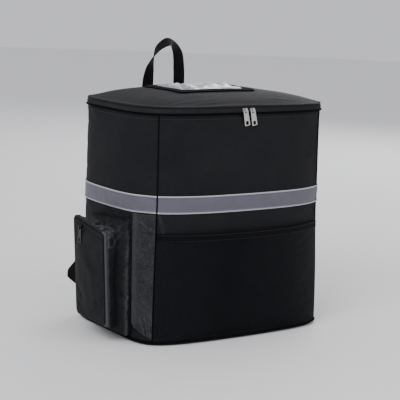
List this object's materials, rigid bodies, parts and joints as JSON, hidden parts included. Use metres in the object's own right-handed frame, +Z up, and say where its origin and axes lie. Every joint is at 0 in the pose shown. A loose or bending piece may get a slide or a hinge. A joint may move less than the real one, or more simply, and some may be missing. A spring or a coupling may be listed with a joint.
{
  "type": "insulated delivery backpack",
  "caption": "Box-shaped insulated backpack with a zipped domed lid, mesh front pocket, side pouch, reflective strip, clear card window, haul handle and padded shoulder straps.",
  "frame": {"origin": "centre of the flat base, on the floor plane that the bag stands on", "axes": "+Z up towards the lid, -Y out of the front with the mesh pocket, +Y out of the back with the shoulder straps, -X out of the side with the pouch"},
  "size_m": [0.4722, 0.3595, 0.5123],
  "materials": {
    "body_cloth": "matt coated polyester",
    "mesh_cloth": "black knitted mesh",
    "binding": "black woven binding tape",
    "webbing": "black ribbed webbing",
    "reflective_tape": "grey reflective tape",
    "clear_sheet": "clear flexible sheet",
    "silver_metal": "satin nickel",
    "dark_metal": "black lacquer",
    "buckle_plastic": "moulded black plastic"
  },
  "bodies": {
    "bag": {"body_shell": "body_cloth", "lid_panel": "body_cloth", "zip_band": "binding", "lid_hinge_strip": "body_cloth", "rim_piping": "binding", "base_piping": "binding", "corner_piping_front_left": "binding", "corner_piping_front_right": "binding", "corner_piping_rear_left": "binding", "corner_piping_rear_right": "binding", "reflective_strip_left": "reflective_tape", "reflective_strip_front": "reflective_tape", "reflective_strip_right": "reflective_tape", "front_mesh_pocket": "mesh_cloth", "front_pocket_hem": "binding", "side_sleeve": "body_cloth", "side_pouch": "body_cloth", "pouch_piping": "binding", "pouch_zip": "binding", "lid_zip_left_slider": "silver_metal", "lid_zip_right_slider": "silver_metal", "pouch_zip_slider": "dark_metal", "card_window": "clear_sheet", "card_window_binding": "binding", "haul_handle": "webbing", "shoulder_strap_left": "body_cloth", "shoulder_strap_right": "body_cloth", "strap_buckle_left": "buckle_plastic", "strap_buckle_right": "buckle_plastic", "corner_tab_left": "webbing", "corner_tab_right": "webbing", "lower_webbing_left": "webbing", "lower_webbing_right": "webbing"},
    "left_lid_pull": {"lid_zip_left_pull": "silver_metal"},
    "right_lid_pull": {"lid_zip_right_pull": "silver_metal"},
    "side_pouch_pull": {"pouch_zip_pull": "dark_metal"}
  },
  "joints": [
    {"name": "left_lid_pull_swing", "type": "hinge", "parent": "bag", "child": "left_lid_pull", "pos_m": [-0.0105, -0.14, 0.40455], "axis": [-0.9781, 0, -0.2079], "range_deg": [0, 150]},
    {"name": "right_lid_pull_swing", "type": "hinge", "parent": "bag", "child": "right_lid_pull", "pos_m": [0.005, -0.14, 0.40455], "axis": [-0.9781, 0, -0.2079], "range_deg": [0, 150]},
    {"name": "side_pouch_pull_swing", "type": "hinge", "parent": "bag", "child": "side_pouch_pull", "pos_m": [-0.2603, -0.011, 0.19501], "axis": [0, 1, 0], "range_deg": [0, 150]}
  ]
}
